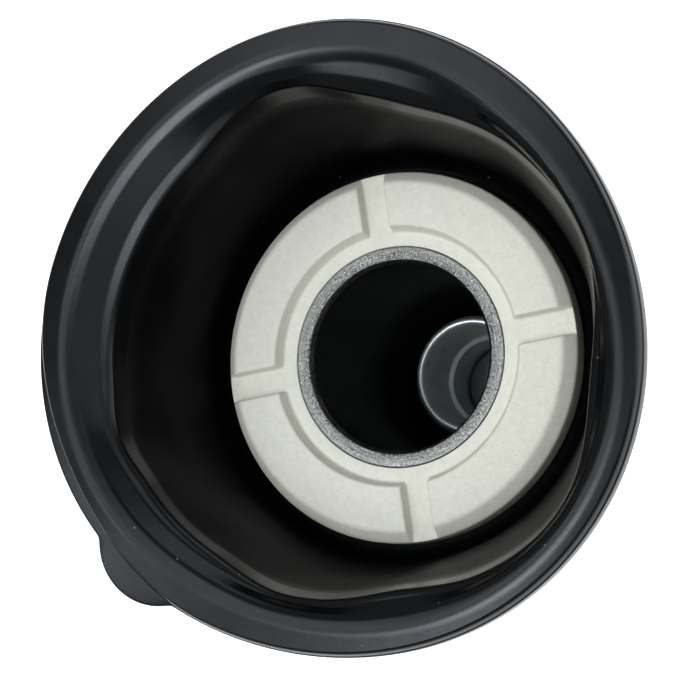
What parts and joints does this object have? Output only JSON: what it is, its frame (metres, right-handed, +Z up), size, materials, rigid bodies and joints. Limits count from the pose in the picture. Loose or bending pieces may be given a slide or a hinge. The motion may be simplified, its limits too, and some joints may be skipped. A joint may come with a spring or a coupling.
{
  "type": "vacuum piston with diaphragm for a constant-velocity carburettor",
  "caption": "Round rubber cup diaphragm with a thick rim, clamped by a grooved ring to a deep tubular piston that carries a long tapered needle.",
  "frame": {"origin": "on the piston's axis, in the plane of the diaphragm bead's underside", "axes": "+Z up the piston's axis to the open side of the cup; the bead's locating tab lies at 228 degrees from +X, seen from above"},
  "size_m": [0.0516, 0.0516, 0.0834],
  "materials": {
    "diaphragm_rubber": "smooth",
    "ring_plastic": "matte",
    "coated_alloy": "hard-coated, dark",
    "bare_alloy": "turned",
    "holder_plastic": "matte",
    "spring_steel": "bright",
    "needle_brass": "polished",
    "seal_rubber": "smooth"
  },
  "bodies": {
    "diaphragm": {"diaphragm_bead": "diaphragm_rubber", "diaphragm_membrane": "diaphragm_rubber"},
    "piston": {"vacuum_piston": "coated_alloy", "clamp_ring": "ring_plastic", "needle_sleeve": "bare_alloy", "needle_washer": "holder_plastic", "needle_spring": "spring_steel", "needle_holder": "holder_plastic", "holder_o_ring": "seal_rubber"},
    "needle": {"jet_needle": "needle_brass", "needle_clip": "spring_steel"}
  },
  "joints": [
    {"name": "piston_lift", "type": "slide", "parent": "diaphragm", "child": "piston", "axis": [0, 0, 1], "range_m": [0, 0.018], "deforming": ["diaphragm_membrane"]},
    {"name": "needle_float", "type": "slide", "parent": "piston", "child": "needle", "axis": [0, 0, 1], "range_m": [0, 0.0012], "stiffness_N_per_m": 200, "springref_m": -0.0015, "deforming": ["needle_spring"]}
  ]
}
